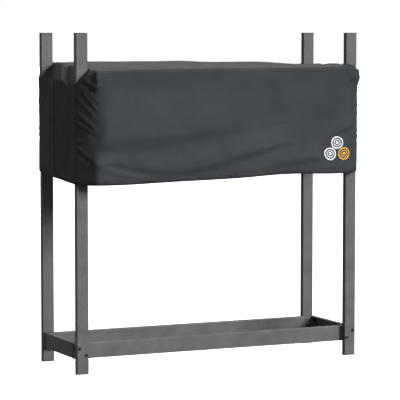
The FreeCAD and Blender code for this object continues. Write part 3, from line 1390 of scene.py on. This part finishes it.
@dataclass(frozen=True)
class Stitches:
    """Rows of lock stitches. They are drawn twice as thick as the thread, so that they show.

    Each ring of a stitch has its place along it, its size, and how deep it is let in, as shares of
    the length, width and height. Rows are counted up from the hem, and down from the top's edge.
    """

    pitch: float = 5.0 * MM
    length: float = 3.6 * MM
    width: float = 0.9 * MM
    height: float = 0.45 * MM
    rings: tuple[tuple[float, float, float], ...] = ((-0.5, 0.4, 0.5), (0.0, 1.0, 0.0), (0.5, 0.4, 0.5))
    hem_row: float = 2.3
    top_rows: tuple[float, float] = (2.4, 3.4)
    seam_sides: tuple[float, float] = (-0.6, 0.6)
    sampling: float = 4 * MM

    def row(
        self, points: np.ndarray, normals: np.ndarray, closed: bool = True
    ) -> tuple[np.ndarray, np.ndarray]:
        """One row of stitches along a line on the cloth.

        Each stitch is three four-sided rings, the outer two smaller and let into the cloth.

        Args:
            points: n x 3 places along the line.
            normals: the surface's normals there.
            closed: whether the line's end joins its start.

        Returns:
            The points and the quads.
        """
        ring = np.concatenate([points, points[:1]]) if closed else points
        facing = np.concatenate([normals, normals[:1]]) if closed else normals
        way = np.concatenate([[0.0], np.cumsum(np.linalg.norm(np.diff(ring, axis=0), axis=1))])
        places = np.arange(0.0, way[-1] - self.pitch / 2, self.pitch)
        spot = np.stack([np.interp(places, way, ring[:, k]) for k in range(3)], 1)
        ahead = np.stack([np.interp(places + MM, way, ring[:, k]) for k in range(3)], 1)
        up = unit(np.stack([np.interp(places, way, facing[:, k]) for k in range(3)], 1))
        along = unit(ahead - spot)
        side = np.cross(up, along)
        turn = np.arange(4) * math.pi / 2
        rings = []
        for share, size, sink in self.rings:
            middle = spot + share * self.length * along - sink * self.height * up
            across = np.cos(turn)[None, :, None] * side[:, None] * self.width / 2 * size
            over = np.sin(turn)[None, :, None] * up[:, None] * self.height * size
            rings.append(middle[:, None] + across + over)
        body = np.stack(rings, 1).reshape(-1, 3)
        tube = grid_faces(3, 4, False, True)
        quads = np.concatenate([tube, [[3, 2, 1, 0], [8, 9, 10, 11]]])
        flip = outward(body[:12], quads)
        faces = flip[None] + 12 * np.arange(len(spot))[:, None, None]
        return body, faces.reshape(-1, 4)

    def build(
        self, cloth: Cloth, binding: Binding, seams: EndSeams
    ) -> tuple[np.ndarray, np.ndarray]:
        """All rows: on the hem's, slots' and seams' tapes, and two under the walls' upper edge.

        Args:
            cloth: the cloth that they are sewn to.
            binding: the tapes of the hem and slots.
            seams: the tapes of the end seams.

        Returns:
            The points and the quads.
        """
        round_cover = np.arange(0, cloth.girth, self.sampling)
        lines = [(self.hem_row, binding.tape)]
        lines += [(cloth.wall_rows - below, 0.0) for below in self.top_rows]
        rows = []
        for height, lift in lines:
            points, normals = cloth.at(round_cover, np.full(len(round_cover), height))
            rows.append(self.row(points + lift * normals, normals))
        for points, normals, into in binding.edges(cloth):
            inset = into * binding.slot_width / 2 + normals * binding.tape
            rows.append(self.row(points + inset, normals))
        for turn in (0.0, cloth.girth / 2):
            for side in self.seam_sides:
                line = seams.line(cloth, turn, side, seams.tape)
                rows.append(self.row(*line, closed=False))
        return merged(rows)


@dataclass(frozen=True)
class LogPrint:
    """A small print of three stacked log ends, low on the front wall's right side.

    Each log end is three rings, given by inner and outer radius in mm. Their radius swells by up
    to 5.5%, as 0.035 cos 2a + 0.02 cos 3a at the angle a. The ink stands out by its relief, and
    its edges are let in by a share of that.
    """

    pale_ends: tuple[tuple[float, float], ...] = ((0.948, 0.797), (0.919, 0.755))
    gold_ends: tuple[tuple[float, float], ...] = ((0.977, 0.755),)
    rings: tuple[tuple[float, float], ...] = ((19.5, 24.0), (11.0, 14.0), (1.6, 6.0))
    relief: float = 0.4 * MM
    sunk: float = 0.4
    corners: int = 56

    def ends(
        self, cloth: Cloth, centres: tuple[tuple[float, float], ...]
    ) -> tuple[np.ndarray, np.ndarray]:
        """Makes the rings of some log ends.

        Args:
            cloth: the cloth that they are printed on.
            centres: each end's middle, in metres along the hem and above the floor.

        Returns:
            The points and the quads.
        """
        turn = np.linspace(0, 2 * math.pi, self.corners, endpoint=False)
        meshes = []
        for order, (along, up) in enumerate(centres):
            wobble = 1 + 0.035 * np.cos(2 * turn + order) + 0.02 * np.cos(3 * turn - 2 * order)
            for inner, outer in self.rings:
                section = ((inner, -self.sunk), (inner, 1.0), (outer, 1.0), (outer, -self.sunk))
                corners = []
                for radius, height in section:
                    reach = radius * MM * wobble
                    row = cloth.row_at(up + reach * np.sin(turn))
                    points, normals = cloth.at(along + reach * np.cos(turn), row)
                    corners.append(points + height * self.relief * normals)
                points, faces = swept(np.stack(corners, 1))
                meshes.append((points, outward(points, faces)))
        return merged(meshes)


# ---------------------------------------------------------------- frame and studio


class SteelFrame:
    """The uprights, beams, rails, plugs and fasteners, which keep their CAD shapes."""

    def __init__(self) -> None:
        """Makes the frame's finishes."""
        self.finishes = {
            Slot.FRAME: PowderCoat().make(),
            Slot.PLUG: PLUG_PLASTIC.make(),
            Slot.FASTENER: BLACK_ZINC.make(),
        }

    def dress(self) -> None:
        """Gives each CAD node of the frame the finish of its slot."""
        by_name = {slot.value: material for slot, material in self.finishes.items()}
        for row in frame["record"]["subparts"]:
            material = by_name.get(row["material_slot"])
            if material is None:
                continue
            node = frame["nodes"][row["node"]]
            node.data.materials.clear()
            node.data.materials.append(material)
            log.info("%s: %s", row["node"], material.name)


@dataclass(frozen=True)
class Lamp:
    """A soft distant light.

    Turn is how far it stands round from the front to the right, height how far up, and spread how
    wide it looks, all in degrees. Glossy says whether it is seen in mirrored light.
    """

    name: str
    power: float
    turn: float
    height: float
    spread: float
    glossy: bool = True

    def build(self) -> None:
        """Makes the light."""
        light = bpy.data.lights.new(self.name, "SUN")
        light.energy = self.power
        light.angle = math.radians(self.spread)
        lamp = bpy.data.objects.new(self.name, light)
        lamp.rotation_euler = (math.radians(90 - self.height), 0, math.radians(self.turn))
        lamp.visible_glossy = self.glossy
        bpy.context.scene.collection.objects.link(lamp)


@dataclass(frozen=True)
class Studio:
    """Pale floor, soft lights and the camera. Turn and dip are in degrees, lens and film in mm.

    The lamps are a key from the front right, one from high behind that rakes over the top, and a
    low one for the back. Fill is the surround's strength straight below and straight above.
    """

    eye: tuple[float, float, float] = (-3.318, -7.036, 1.205)
    turn: float = 25.26
    dip: float = 4.55
    lens: float = 190.7
    film: float = 36.0
    sight: float = 200.0
    lamps: tuple[Lamp, ...] = (
        Lamp("key", power=5.5, turn=32.0, height=25.0, spread=26.0),
        Lamp("rear", power=1.1, turn=150.0, height=52.0, spread=30.0),
        Lamp("back", power=1.8, turn=160.0, height=8.0, spread=16.0, glossy=False),
    )
    fill: tuple[float, float] = (0.14, 0.48)
    floor_reach: float = 60.0
    floor_glow: float = 0.72

    def build(self) -> None:
        """Makes the floor, the lights, the sky and the camera."""
        self._floor()
        for lamp in self.lamps:
            lamp.build()
        self._sky()
        self._camera()

    def _floor(self) -> None:
        """A wide pale floor that glows a little, so that shadows on it are faint.

        Flags beside the object keep its light off: it is left out of bounced and mirrored light.
        """
        corners = np.array([(-1, -1, 0), (1, -1, 0), (1, 1, 0), (-1, 1, 0)]) * self.floor_reach
        floor = make_piece("studio_floor", corners, [np.array([[0, 1, 2, 3]])])
        material, tree = blank_material("backlit_acrylic_floor")
        shader = add_node(
            tree,
            "ShaderNodeBsdfPrincipled",
            {
                "Base Color": linear("#f4f4f3"),
                "Roughness": 0.9,
                "Emission Color": linear("#ffffff"),
                "Emission Strength": self.floor_glow,
            },
        )
        add_node(tree, "ShaderNodeOutputMaterial", {}, {"Surface": shader.outputs["BSDF"]})
        floor.data.materials.append(material)
        floor.visible_diffuse = False
        floor.visible_glossy = False

    def _sky(self) -> None:
        """A white backdrop to look at, and a dim surround, paler overhead, for the fill light."""
        world = bpy.data.worlds.new("studio_surround")
        world.use_nodes = True
        tree = world.node_tree
        tree.nodes.clear()
        way = add_node(tree, "ShaderNodeTexCoord")
        height = add_node(
            tree, "ShaderNodeSeparateXYZ", links={"Vector": way.outputs["Generated"]}
        )
        fill = add_node(
            tree,
            "ShaderNodeMapRange",
            {"From Min": -1.0, "To Min": self.fill[0], "To Max": self.fill[1]},
            {"Value": height.outputs["Z"]},
        )
        path = add_node(tree, "ShaderNodeLightPath")
        power = add_node(
            tree,
            "ShaderNodeMapRange",
            {"To Max": 1.0},
            {"Value": path.outputs["Is Camera Ray"], "To Min": fill.outputs["Result"]},
        )
        shade = add_node(
            tree,
            "ShaderNodeBackground",
            {"Color": linear("#ffffff")},
            {"Strength": power.outputs["Result"]},
        )
        add_node(tree, "ShaderNodeOutputWorld", {}, {"Surface": shade.outputs["Background"]})
        bpy.context.scene.world = world
        bpy.context.scene.view_settings.view_transform = "Standard"

    def _camera(self) -> None:
        """A long lens at eye height, from the front left."""
        data = bpy.data.cameras.new("camera")
        data.lens = self.lens
        data.sensor_width = self.film
        data.clip_end = self.sight
        camera = bpy.data.objects.new("camera", data)
        camera.location = self.eye
        camera.rotation_euler = (math.radians(90 - self.dip), 0, math.radians(-self.turn))
        bpy.context.scene.collection.objects.link(camera)
        bpy.context.scene.camera = camera


class Cover:
    """The sewn cover: cloth, tapes, stitches and print."""

    def __init__(self) -> None:
        """Works out the cloth from the frame."""
        self.cloth = Cloth.from_frame()

    def build(self) -> None:
        sheet = self.cloth.build(CoatedCloth().make())
        tape, thread, white, gold = (
            finish.make() for finish in (WOVEN_TAPE, THREAD, WHITE_INK, GOLD_INK)
        )
        binding, seams, mark = Binding(), EndSeams(), LogPrint()
        trims = (
            ("cover_hem_binding", binding.hem(self.cloth), Slot.TAPE, tape),
            ("cover_slot_bindings", binding.slots(self.cloth), Slot.TAPE, tape),
            ("cover_end_seams", seams.build(self.cloth), Slot.TAPE, tape),
            ("cover_stitching", Stitches().build(self.cloth, binding, seams), Slot.CLOTH, thread),
            ("cover_print_pale", mark.ends(self.cloth, mark.pale_ends), Slot.CLOTH, white),
            ("cover_print_gold", mark.ends(self.cloth, mark.gold_ends), Slot.CLOTH, gold),
        )
        for name, (points, faces), slot, material in trims:
            piece = make_piece(name, points, [faces])
            finish_piece(piece, Body.COVER, material)
        panels = [n for n in frame["nodes"] if n.startswith("cover_") and n != "cover_hem_tape"]
        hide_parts(*sorted(panels))
        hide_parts("cover_hem_tape")


def main() -> None:
    """Builds the rack's looks and the studio."""
    logging.basicConfig(level=logging.INFO, format="%(name)s %(message)s")
    Studio().build()
    SteelFrame().dress()
    Cover().build()


if __name__ == "__main__":
    main()
